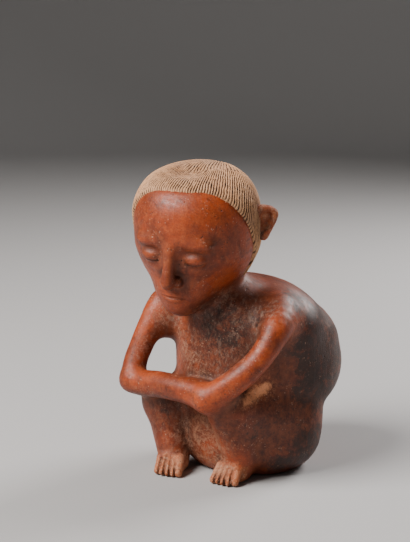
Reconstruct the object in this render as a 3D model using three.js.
// Figure of hollow fired clay, seated with its knees drawn up, its arms folded over them and
// its head bowed. Millimetres, +Z up. It faces -Y, its left side is +X, and it sits on Z = 0.
// The clay is a field of rounded forms worked into each other: negative inside, zero on the
// surface. The surface is netted on a coarse grid, then split where it bends.

import * as THREE from 'three';

const { clamp, lerp, smoothstep, degToRad } = THREE.MathUtils;

// Torso: each lump of clay as its centre, its three radii and how softly it joins the rest.
const HUMP = { at: [0, 25, 66], radii: [53.5, 48.5, 43.5], soft: 0 };
const SHOULDERS = { at: [0, 8, 92], radii: [51.5, 41, 32], soft: 14 };
const BELLY = { at: [0, -8, 58], radii: [38, 28, 42], soft: 12 };
const HIPS = { at: [0, 10, 21], radii: [48.8, 42, 30.5], soft: 14 };
const UPPER_BACK = { at: [0, 29, 82], radii: [49.5, 38, 27], soft: 5 };
const ARMPIT = { at: [-42, -21, 94], radii: [10, 10, 12], soft: 8 };
const NECK = { from: [-1, -12, 108], to: [-8, -22, 124], radii: [21, 18], soft: 10 };

// Arms: the middle line of each limb from the shoulder down, and its radius at each point.
const RIGHT_ELBOW = [-49.2, -46.5, 57.9];
const LEFT_ELBOW = [15, -51.5, 56.5];
const RIGHT_ARM = {
  line: [
    [-33, -5, 101], [-42, -18, 108], [-46.2, -29.8, 95], [-49, -37.6, 80], [-50.8, -43, 68],
    RIGHT_ELBOW,
  ],
  radii: [14, 10.5, 8.4, 7.6, 7.5, 8.4],
};
const LEFT_ARM = {
  line: [
    [34, -6, 103], [43, -19, 99.5], [43.2, -28, 90], [40, -35, 81], [34, -42, 72.5], [26, -47.5, 64.5],
    LEFT_ELBOW,
  ],
  radii: [13, 9.8, 8, 7.7, 7.9, 8.4, 9],
};
const RIGHT_FOREARM = {
  line: [RIGHT_ELBOW, [-42, -47, 56.6], [-21, -49, 59], [0, -50, 59], [10, -51, 57.5]],
  radii: [8.4, 8.4, 8.2, 8.2, 8.6],
};
const LEFT_FOREARM = { line: [LEFT_ELBOW, [4, -42, 58], [-12, -39, 57]], radii: [8, 7.5, 6.5] };
const SHOULDER_SOFT = 9;
const ELBOW_SOFT = 3;
const CORNER_CUTS = 2;
const LIMB_FAR = 12;

// Legs: hip, knee and ankle of each side, where its foot stands and how far that foot turns.
const RIGHT_LEG = {
  side: -1, hip: [-30, 12, 34], knee: [-37.4, -28.6, 42], ankle: [-28.8, -33.6, 16],
  foot: [-24.6, -37.6], yaw: 24,
};
const LEFT_LEG = {
  side: 1, hip: [30, 12, 34], knee: [19, -32, 47], ankle: [21, -26, 16], foot: [17.8, -28.8], yaw: 4,
};
const HIP_RADIUS = 20;
const THIGH_END_RADIUS = 15;
const KNEE_RADIUS = 13.5;
const ANKLE_RADIUS = 10;
const THIGH_SOFT = 10;
const SHIN_SOFT = 5;

// Foot: a low pad with a fan of toes at its front.
const FOOT_PAD = { back: 2.5, height: 6.5, radii: [9.6, 12, 9.3] };
const TOES = 5;
const TOE_PITCH = 3.45;
const TOE_ROOT = { y: -5, z: 9.6, radius: 3.2, spread: 0.86 };
const TOE_TIP = { y: -12.6, z: 2.7, radius: 2.5 };
const TOE_FALL_BACK = 0.6;
const TOE_SOFT = 0.9;
const FOOT_SOFT = 4;
const EDGE_SOFT = 1.5;

// Head: its centre and turn, then forms in its own frame, where -Y is the front of the face.
const HEAD = { at: [-11, -30, 150], turn: [13, 4, 14], soft: 5 };
const SKULL = { middle: [0, 2, 4], width: 38.5, depth: 40.5, rise: 40, drop: 46, crownPower: 3 };
const JAW = { drop: 42, narrowing: 0.2, narrowingPower: 1.2, shallowing: 0.12, advance: 4.5 };
const CROWN_DIP = { at: [0, -4, 58.4], radius: 16, soft: 7 };

// Hair: a thin cap, proud of the skin. Its edge is high on the brow and low behind the ears.
const HAIR = { thick: 1.3, edge: 2.6, browHeight: 39.5, napeHeight: -42, fall: 58, steep: 4, twist: 7 };

// Ears: a cupped flap with a level top, a corner at its outer end and a narrow lobe. Each has its
// own frame, where +X is outwards and -Y is forwards: a plate, a rim of bars and a hollow in front.
const EAR = { out: 38.4, back: 10, up: 12, lean: 4, turn: 44, soft: 2.5 };
const EAR_PLATE = { at: [0, 1, 0.6], radii: [8, 2.7, 9.4] };
const EAR_RIM = {
  line: [[-6, 0, 9], [3, -0.8, 9.2], [9, -1.8, 6.8], [8, -1.2, 0.4], [2.5, -0.4, -8.8]],
  radii: [2.6, 2.4, 2.3, 2.2, 3],
};
const EAR_HOLLOW = { at: [2.6, -3.6, 1.8], radii: [4.2, 3.5, 6.2], soft: 1.4 };
const EAR_RIM_SOFT = 2;
const EAR_ROUGH_THICKNESS = 4.8;

// Face: closed eyes, straight nose and level mouth, on the common thirds from hairline to brow,
// nose base and chin, with the eyes halfway up the head.
const EYE_SOCKET = { out: 13.5, front: -45.5, up: 2.5, radius: 11, soft: 5 };
const EYE = { out: 13.5, front: -31.4, up: 0.5, radii: [7.6, 5.6, 4.8], soft: 1.5 };
const BROW = { out: 13, front: -31.5, up: 10.5, radii: [11, 5, 3.4], slant: 6, soft: 5 };
const NOSE = { bridge: [0, -36.5, 8], tip: [0, -42.5, -13], radii: [2.6, 4], soft: 4 };
const NOSTRIL_WING = { at: [4.2, -37.6, -14], radius: 2.9, soft: 3.5 };
const MUZZLE = { at: [0, -21, -24.5], radii: [17, 15, 13.5], soft: 8 };
const CHIN = { at: [0, -23, -34], radii: [10.5, 9, 7.5], soft: 6 };
const MOUTH = { front: -34.7, up: -25, halfWidth: 8, fallBack: 2.6, lipGap: 1.5, soft: 1.4 };
const LIP_RADII = [0.7, 1.7, 1.9, 1.7, 0.7];

// Past this distance from the skull, the forms of the face and the ears are out of reach.
const FACE_REACH = 30;

// Mesh: the grid, how far a flat face may stray from the clay, the lengths of its edges, and
// how far each point moves towards its neighbours when the faces are evened out.
const GRID_STEP = 3.2;
const LOW_CORNER = [-70, -90, -5.2];
const HIGH_CORNER = [70, 85, 206];
const STRAY = 0.3;
const SHORTEST_EDGE = 1.1;
const REFINE_ROUNDS = 2;
const MERGE_STRAY = 0.34;
const MERGE_ROUNDS = 16;
const MOST_FACES = 9500;
const LONGEST_MERGED = 8;
const LONGEST_EDGE = 11;
const LEAST_FACING = 0.85;
const GROUND_SNAP = 0.35;
const SLOPE_REACH = 0.05;
const SETTLE_LIMIT = 2;
const EVEN_NETTED = 0.5;
const EVEN_REFINED = 0.3;
const EVEN_MERGED = 0.15;

const CLAY_RED = 0xa4431f;
const BURNISH = 0.38;

const minus = (a, b) => [a[0] - b[0], a[1] - b[1], a[2] - b[2]];
const dot = (a, b) => a[0] * b[0] + a[1] * b[1] + a[2] * b[2];
const size = (a) => Math.sqrt(dot(a, a));
const midpoint = (a, b) => [(a[0] + b[0]) / 2, (a[1] + b[1]) / 2, (a[2] + b[2]) / 2];

// Joins two fields, rounding the seam over a width.
function join(a, b, soft) {
  if (soft === 0) return Math.min(a, b);
  const overlap = Math.max(soft - Math.abs(a - b), 0) / soft;
  return Math.min(a, b) - overlap * overlap * soft / 4;
}

// Takes the second field's inside away from the first.
function carve(a, b, soft) {
  return -join(-a, b, soft);
}

// Coordinates in a frame that stands at a place, turned about X, then Y, then Z, in degrees.
function frameAt(at, turn) {
  const angles = new THREE.Euler(...turn.map(degToRad), 'ZYX');
  const e = new THREE.Matrix4().makeRotationFromEuler(angles).elements;
  const axes = [e.slice(0, 3), e.slice(4, 7), e.slice(8, 11)];
  return (p) => {
    const away = minus(p, at);
    return [dot(away, axes[0]), dot(away, axes[1]), dot(away, axes[2])];
  };
}

function ellipsoid(at, radii, turn = [0, 0, 0]) {
  const local = frameAt(at, turn);
  return (p) => {
    const q = local(p);
    const a = [q[0] / radii[0], q[1] / radii[1], q[2] / radii[2]];
    const slope = size([a[0] / radii[0], a[1] / radii[1], a[2] / radii[2]]);
    const level = size(a);
    return level * (level - 1) / Math.max(slope, 1e-9);
  };
}

// A round bar from one point to another, with its own radius at each end.
function bar(from, to, radii) {
  const way = minus(to, from);
  const wayLength = dot(way, way);
  return (p) => {
    const away = minus(p, from);
    const t = clamp(dot(away, way) / wayLength, 0, 1);
    const gap = minus(away, [way[0] * t, way[1] * t, way[2] * t]);
    return size(gap) - lerp(radii[0], radii[1], t);
  };
}

function ball(at, radius) {
  return (p) => size(minus(p, at)) - radius;
}

// Cuts the corners of a line whose points may carry a radius too, and keeps its ends.
function cutCorners(line) {
  const between = (a, b, t) => a.map((v, i) => lerp(v, b[i], t));
  const cut = line.slice(1).flatMap((b, i) => [between(line[i], b, 0.25), between(line[i], b, 0.75)]);
  return [line[0], ...cut.slice(1, -1), line[line.length - 1]];
}

// A limb that bends softly through its points. Past its reach, the distance to its ball will do.
function limb({ line, radii }) {
  let round = line.map((p, i) => [...p, radii[i]]);
  for (let n = 0; n < CORNER_CUTS; n += 1) round = cutCorners(round);
  const bars = round.slice(1).map((b, i) => bar(round[i].slice(0, 3), b.slice(0, 3), [round[i][3], b[3]]));
  const middle = midpoint(line[0], line[line.length - 1]);
  const reach = Math.max(...round.map((p) => size(minus(p, middle)) + p[3]));
  return (p) => {
    const away = size(minus(p, middle)) - reach;
    return away > LIMB_FAR ? away : Math.min(...bars.map((piece) => piece(p)));
  };
}

function lump({ at, radii }) {
  return ellipsoid(at, radii);
}

function leg({ hip, knee, ankle }) {
  const thigh = bar(hip, knee, [HIP_RADIUS, THIGH_END_RADIUS]);
  const shin = bar(knee, ankle, [KNEE_RADIUS, ANKLE_RADIUS]);
  return { thigh, shin };
}

function foot({ side, foot: [x, y], yaw }) {
  const local = frameAt([x, y, 0], [0, 0, yaw]);
  const pad = ellipsoid([0, FOOT_PAD.back, FOOT_PAD.height], FOOT_PAD.radii);
  const toes = [];
  for (let i = 0; i < TOES; i += 1) {
    const place = i - (TOES - 1) / 2;
    const across = place * TOE_PITCH;
    const back = Math.max(place * side, 0) ** 2 * TOE_FALL_BACK;
    const root = [across * TOE_ROOT.spread, TOE_ROOT.y, TOE_ROOT.z];
    const tip = [across, TOE_TIP.y + back, TOE_TIP.z];
    toes.push(bar(root, tip, [TOE_ROOT.radius, TOE_TIP.radius]));
  }
  return (p) => {
    const q = local(p);
    return toes.reduce((d, toe) => join(d, toe(q), TOE_SOFT), pad(q));
  };
}

// The bare skull: a round dome with a squared crown, narrowing and coming forward to the jaw.
function skull(q) {
  const down = clamp(-q[2] / JAW.drop, 0, 1);
  const x = (q[0] - SKULL.middle[0]) / (1 - JAW.narrowing * down ** JAW.narrowingPower);
  const y = (q[1] + JAW.advance * down ** 2 - SKULL.middle[1]) / (1 - JAW.shallowing * down);
  const z = q[2] - SKULL.middle[2];
  const power = z > 0 ? SKULL.crownPower : 2;
  const tall = z > 0 ? SKULL.rise : SKULL.drop;
  const flat = Math.max(Math.hypot(x / SKULL.width, y / SKULL.depth), 1e-6);
  const high = Math.abs(z) / tall;
  const level = (flat ** power + high ** power) ** (1 / power);
  const flatSlope = (flat / level) ** (power - 1) / SKULL.depth;
  const highSlope = (high / level) ** (power - 1) / tall;
  return (level - 1) / Math.hypot(flatSlope, highSlope);
}

// How much hair covers a point of the head, from 0 to 1.
function hairCover(q) {
  const round = Math.abs(Math.atan2(q[0], -q[1]) / degToRad(1) - HAIR.twist);
  const fall = HAIR.fall * (round / 90) ** HAIR.steep;
  const edge = Math.max(HAIR.browHeight - fall, HAIR.napeHeight);
  return smoothstep(q[2], edge - HAIR.edge / 2, edge + HAIR.edge / 2);
}

function faceForms() {
  const forms = [
    { shape: lump(MUZZLE), soft: MUZZLE.soft },
    { shape: lump(CHIN), soft: CHIN.soft },
    { shape: bar(NOSE.bridge, NOSE.tip, NOSE.radii), soft: NOSE.soft },
  ];
  for (const up of [-1, 1]) {
    const line = LIP_RADII.map((_, i) => {
      const out = (2 * i) / (LIP_RADII.length - 1) - 1;
      const closing = 1 - out * out;
      const y = MOUTH.front + MOUTH.fallBack * out * out;
      return [out * MOUTH.halfWidth, y, MOUTH.up + up * MOUTH.lipGap * closing];
    });
    forms.push({ shape: limb({ line, radii: LIP_RADII }), soft: MOUTH.soft });
  }
  for (const side of [-1, 1]) {
    const brow = ellipsoid([side * BROW.out, BROW.front, BROW.up], BROW.radii, [0, side * BROW.slant, 0]);
    const eye = ellipsoid([side * EYE.out, EYE.front, EYE.up], EYE.radii);
    const [x, y, z] = NOSTRIL_WING.at;
    forms.push({ shape: brow, soft: BROW.soft });
    forms.push({ shape: eye, soft: EYE.soft });
    forms.push({ shape: ball([side * x, y, z], NOSTRIL_WING.radius), soft: NOSTRIL_WING.soft });
  }
  return forms;
}

function ear(side, rough) {
  const local = frameAt([side * EAR.out, EAR.back, EAR.up], [0, side * EAR.lean, side * EAR.turn]);
  const [wide, thick, tall] = EAR_PLATE.radii;
  const plate = ellipsoid(EAR_PLATE.at, [wide, rough ? EAR_ROUGH_THICKNESS : thick, tall]);
  const rim = limb(EAR_RIM);
  const hollow = ellipsoid(EAR_HOLLOW.at, EAR_HOLLOW.radii);
  return (p) => {
    const [x, y, z] = local(p);
    const q = [side * x, y, z];
    const flap = join(plate(q), rim(q), EAR_RIM_SOFT);
    return rough ? flap : carve(flap, hollow(q), EAR_HOLLOW.soft);
  };
}

function head(rough) {
  const local = frameAt(HEAD.at, HEAD.turn);
  const dip = ball(CROWN_DIP.at, CROWN_DIP.radius);
  const forms = faceForms();
  const { out, front, up, radius } = EYE_SOCKET;
  const sockets = [-1, 1].map((side) => ball([side * out, front, up], radius));
  const ears = [ear(-1, rough), ear(1, rough)];
  return (p) => {
    const q = local(p);
    let d = carve(skull(q), dip(q), CROWN_DIP.soft);
    if (d > FACE_REACH) return d;
    d = sockets.reduce((sum, socket) => carve(sum, socket(q), EYE_SOCKET.soft), d);
    d = forms.reduce((sum, form) => join(sum, form.shape(q), form.soft), d);
    d -= HAIR.thick * hairCover(q);
    return ears.reduce((sum, flap) => join(sum, flap(q), EAR.soft), d);
  };
}

// The whole figure's field. The rough one has thicker ears, which the coarse grid can catch.
function figureField(rough) {
  const trunk = [HUMP, SHOULDERS, BELLY, HIPS, UPPER_BACK, ARMPIT];
  const torso = trunk.map((form) => ({ shape: lump(form), soft: form.soft }));
  const arms = [
    { shape: limb(RIGHT_ARM), soft: SHOULDER_SOFT },
    { shape: limb(LEFT_ARM), soft: SHOULDER_SOFT },
    { shape: limb(RIGHT_FOREARM), soft: ELBOW_SOFT },
    { shape: limb(LEFT_FOREARM), soft: ELBOW_SOFT },
  ];
  const legs = [RIGHT_LEG, LEFT_LEG].flatMap((side) => {
    const { thigh, shin } = leg(side);
    return [
      { shape: thigh, soft: THIGH_SOFT },
      { shape: shin, soft: SHIN_SOFT },
      { shape: foot(side), soft: FOOT_SOFT },
    ];
  });
  const neck = { shape: bar(NECK.from, NECK.to, NECK.radii), soft: NECK.soft };
  const forms = [...torso, neck, ...arms, ...legs];
  const headForm = head(rough);
  return (p) => {
    const body = forms.reduce((d, form) => join(d, form.shape(p), form.soft), Infinity);
    const cut = -join(-body, p[2], EDGE_SOFT);
    return join(cut, headForm(p), HEAD.soft);
  };
}

// The corners of a grid cell, its edges as [corner, axis], and the edges around each face.
const CORNERS = [0, 1, 2, 3, 4, 5, 6, 7].map((n) => [n & 1, (n >> 1) & 1, n >> 2]);
const EDGES = [0, 1, 2].flatMap((axis) => CORNERS.flatMap((c, n) => (c[axis] ? [] : [[n, axis]])));
const edgeOf = (a, b) => {
  const [low, high] = [Math.min(a, b), Math.max(a, b)];
  return EDGES.findIndex(([n, axis]) => n === low && n + (1 << axis) === high);
};
const FACES = [0, 1, 2].flatMap((axis) => [0, 1].map((side) => {
  const u = 1 << ((axis + 1) % 3);
  const w = 1 << ((axis + 2) % 3);
  const start = side << axis;
  const ring = [start, start + u, start + u + w, start + w];
  return ring.map((corner, i) => {
    const before = edgeOf(ring[(i + 3) % 4], corner);
    const after = edgeOf(corner, ring[(i + 1) % 4]);
    return { corner, before, after };
  });
}));

// Groups a cell's crossed edges into its separate patches of surface: a list of edge lists.
function patchesOf(v) {
  const crossed = EDGES.map(([n, axis]) => (v[n] < 0) !== (v[n + (1 << axis)] < 0));
  const patch = EDGES.map((_, i) => i);
  const unite = (a, b) => {
    const [from, to] = [patch[a], patch[b]];
    patch.forEach((p, i) => { if (p === from) patch[i] = to; });
  };
  for (const ring of FACES) {
    const edges = ring.map((r) => r.after).filter((e) => crossed[e]);
    if (edges.length === 2) unite(edges[0], edges[1]);
    if (edges.length < 4) continue;
    for (const r of ring) if (v[r.corner] < 0) unite(r.before, r.after);
  }
  const groups = new Map();
  crossed.forEach((is, e) => {
    if (is) groups.set(patch[e], [...(groups.get(patch[e]) ?? []), e]);
  });
  return [...groups.values()];
}

// One vertex for each patch of surface in a grid cell, and a quad across each crossed grid edge.
function netSurface(field, low, high, step) {
  const count = low.map((v, i) => Math.ceil((high[i] - v) / step) + 1);
  const stride = [1, count[0], count[0] * count[1]];
  const place = (cell) => cell.map((v, i) => low[i] + v * step);
  const values = new Float64Array(count[0] * count[1] * count[2]);
  const eachCell = (from, visit) => {
    for (let k = from; k < count[2] - 1; k += 1) {
      for (let j = from; j < count[1] - 1; j += 1) {
        for (let i = from; i < count[0] - 1; i += 1) visit([i, j, k], i + j * stride[1] + k * stride[2]);
      }
    }
  };
  values.fill(1);
  eachCell(0, (cell, n) => { values[n] = field(place(cell)); });
  const points = [];
  const pointOn = new Map();
  eachCell(0, (cell, n) => {
    const v = CORNERS.map((c) => values[n + dot(c, stride)]);
    if (v.every((d) => d < 0) || v.every((d) => d >= 0)) return;
    for (const patch of patchesOf(v)) {
      const sum = [0, 0, 0];
      for (const e of patch) {
        const [corner, axis] = EDGES[e];
        const t = v[corner] / (v[corner] - v[corner + (1 << axis)]);
        for (let i = 0; i < 3; i += 1) sum[i] += CORNERS[corner][i] + (i === axis ? t : 0);
        pointOn.set(n * EDGES.length + e, points.length);
      }
      points.push(place(cell.map((c, i) => c + sum[i] / patch.length)));
    }
  });
  const faces = [];
  eachCell(1, (cell, n) => {
    const inside = values[n] < 0;
    for (let axis = 0; axis < 3; axis += 1) {
      if (inside === (values[n + stride[axis]] < 0)) continue;
      const [u, w] = [(axis + 1) % 3, (axis + 2) % 3];
      const around = (a, b) => {
        const corner = (a << u) + (b << w);
        const cellBefore = n - a * stride[u] - b * stride[w];
        return pointOn.get(cellBefore * EDGES.length + edgeOf(corner, corner + (1 << axis)));
      };
      const quad = [around(1, 1), around(0, 1), around(0, 0), around(1, 0)];
      if (!inside) quad.reverse();
      faces.push([quad[0], quad[1], quad[2]], [quad[0], quad[2], quad[3]]);
    }
  });
  return { points, faces };
}

function slopeAt(field, p) {
  return [0, 1, 2].map((i) => {
    const ahead = [...p];
    const behind = [...p];
    ahead[i] += SLOPE_REACH;
    behind[i] -= SLOPE_REACH;
    return (field(ahead) - field(behind)) / (2 * SLOPE_REACH);
  });
}

// Moves a point onto the surface.
function settle(field, p, rounds) {
  let q = p;
  for (let n = 0; n < rounds; n += 1) {
    const slope = slopeAt(field, q);
    const move = field(q) / Math.max(dot(slope, slope), SLOPE_REACH);
    const step = clamp(move, -SETTLE_LIMIT, SETTLE_LIMIT);
    q = minus(q, slope.map((v) => v * step));
  }
  return q;
}

const sidesOf = ([a, b, c]) => [[a, b], [b, c], [c, a]];
const edgeKey = (a, b) => Math.min(a, b) * 1e6 + Math.max(a, b);

// Splits the edges whose middles stray from the surface, and the faces with them.
function refine(field, mesh) {
  const points = [...mesh.points];
  const split = new Map();
  for (const [a, b] of mesh.faces.flatMap(sidesOf)) {
    if (split.has(edgeKey(a, b))) continue;
    const long = size(minus(points[a], points[b])) > 2 * SHORTEST_EDGE;
    split.set(edgeKey(a, b), long && Math.abs(field(midpoint(points[a], points[b]))) > STRAY);
  }
  let grown = true;
  while (grown) {
    grown = false;
    for (const face of mesh.faces) {
      const keys = sidesOf(face).map(([a, b]) => edgeKey(a, b));
      if (keys.filter((key) => split.get(key)).length !== 2) continue;
      keys.forEach((key) => split.set(key, true));
      grown = true;
    }
  }
  const middles = new Map();
  const middleOf = (a, b) => {
    const key = edgeKey(a, b);
    if (!split.get(key)) return -1;
    if (!middles.has(key)) {
      middles.set(key, points.length);
      points.push(settle(field, midpoint(points[a], points[b]), 2));
    }
    return middles.get(key);
  };
  const faces = mesh.faces.flatMap(([a, b, c]) => {
    const ab = middleOf(a, b);
    const bc = middleOf(b, c);
    const ca = middleOf(c, a);
    if (ab >= 0 && bc >= 0) return [[a, ab, ca], [ab, b, bc], [ca, bc, c], [ab, bc, ca]];
    if (ab >= 0) return [[a, ab, c], [ab, b, c]];
    if (bc >= 0) return [[b, bc, a], [bc, c, a]];
    if (ca >= 0) return [[c, ca, b], [ca, a, b]];
    return [[a, b, c]];
  });
  return { points, faces };
}

function facing([a, b, c]) {
  const u = minus(b, a);
  const w = minus(c, a);
  const cross = [u[1] * w[2] - u[2] * w[1], u[2] * w[0] - u[0] * w[2], u[0] * w[1] - u[1] * w[0]];
  const long = Math.max(size(cross), 1e-9);
  return cross.map((v) => v / long);
}

// Merges the ends of edges, the shortest first and never two that touch, wherever the new edges
// stay within a distance of the surface and no face turns far.
function merge(field, mesh, stray) {
  const points = [...mesh.points];
  const { faces } = mesh;
  const facesAt = points.map(() => []);
  faces.forEach((face, n) => face.forEach((p) => facesAt[p].push(n)));
  const ring = (p) => new Set(facesAt[p].flatMap((n) => faces[n]).filter((q) => q !== p));
  const reach = ([a, b]) => size(minus(points[a], points[b]));
  const edges = faces.flatMap(sidesOf).filter(([a, b]) => a < b && reach([a, b]) < LONGEST_MERGED);
  edges.sort((m, n) => reach(m) - reach(n));
  const busy = new Set();
  const mergedInto = new Map();
  for (const [a, b] of edges) {
    if (busy.has(a) || busy.has(b)) continue;
    const [nearA, nearB] = [ring(a), ring(b)];
    const rim = [...new Set([...nearA, ...nearB])].filter((q) => q !== a && q !== b);
    if (rim.some((q) => busy.has(q))) continue;
    const shared = rim.filter((q) => nearA.has(q) && nearB.has(q));
    if (shared.length !== 2 || shared.some((q) => facesAt[q].length < 5)) continue;
    const middle = settle(field, midpoint(points[a], points[b]), 2);
    const strays = (q) => Math.abs(field(midpoint(points[q], middle))) > stray;
    if (rim.some((q) => size(minus(points[q], middle)) > LONGEST_EDGE || strays(q))) continue;
    const between = (n) => faces[n].includes(a) && faces[n].includes(b);
    const kept = [...facesAt[a], ...facesAt[b]].filter((n) => !between(n));
    const turns = (n) => {
      const before = faces[n].map((q) => points[q]);
      const after = faces[n].map((q) => (q === a || q === b ? middle : points[q]));
      return dot(facing(before), facing(after)) < LEAST_FACING;
    };
    if (kept.some(turns)) continue;
    [a, b, ...rim].forEach((q) => busy.add(q));
    points[a] = middle;
    mergedInto.set(b, a);
  }
  const place = new Map();
  const newPoints = [];
  points.forEach((p, n) => { if (!mergedInto.has(n)) place.set(n, newPoints.push(p) - 1); });
  const placeOf = (n) => place.get(mergedInto.get(n) ?? n);
  const moved = faces.map((face) => face.map(placeOf));
  const newFaces = moved.filter(([a, b, c]) => a !== b && b !== c && c !== a);
  return { points: newPoints, faces: newFaces };
}

// Evens out the faces: each point moves towards its neighbours, then back onto the surface.
function even(field, mesh, share) {
  const sums = mesh.points.map(() => [0, 0, 0, 0]);
  for (const [from, to] of mesh.faces.flatMap(sidesOf)) {
    const next = mesh.points[to];
    for (let i = 0; i < 3; i += 1) sums[from][i] += next[i];
    sums[from][3] += 1;
  }
  const points = mesh.points.map((p, n) => {
    const middle = sums[n].slice(0, 3).map((v) => v / sums[n][3]);
    return settle(field, p.map((v, i) => lerp(v, middle[i], share)), 2);
  });
  return { points, faces: mesh.faces };
}

function clayMesh() {
  const field = figureField(false);
  let mesh = even(field, netSurface(figureField(true), LOW_CORNER, HIGH_CORNER, GRID_STEP), EVEN_NETTED);
  for (let n = 0; n < REFINE_ROUNDS; n += 1) mesh = even(field, refine(field, mesh), EVEN_REFINED);
  for (let n = 1; n <= MERGE_ROUNDS && mesh.faces.length > MOST_FACES; n += 1) {
    mesh = even(field, merge(field, mesh, MERGE_STRAY * n / MERGE_ROUNDS), EVEN_MERGED);
  }
  return mesh;
}

function clayGeometry() {
  const { points, faces } = clayMesh();
  const flat = points.flatMap(([x, y, z]) => [x, y, Math.abs(z) < GROUND_SNAP ? 0 : z]);
  const geometry = new THREE.BufferGeometry();
  geometry.setAttribute('position', new THREE.Float32BufferAttribute(flat, 3));
  geometry.setIndex(faces.flat());
  geometry.computeBoundingBox();
  const middle = geometry.boundingBox.getCenter(new THREE.Vector3());
  geometry.translate(-middle.x, -middle.y, 0);
  geometry.computeVertexNormals();
  return geometry;
}

const firedClay = new THREE.MeshStandardMaterial({ color: CLAY_RED, roughness: BURNISH, metalness: 0 });

const figure = new THREE.Mesh(clayGeometry(), firedClay);
figure.name = 'figure';

const group = new THREE.Group();
group.add(figure);

export default group;
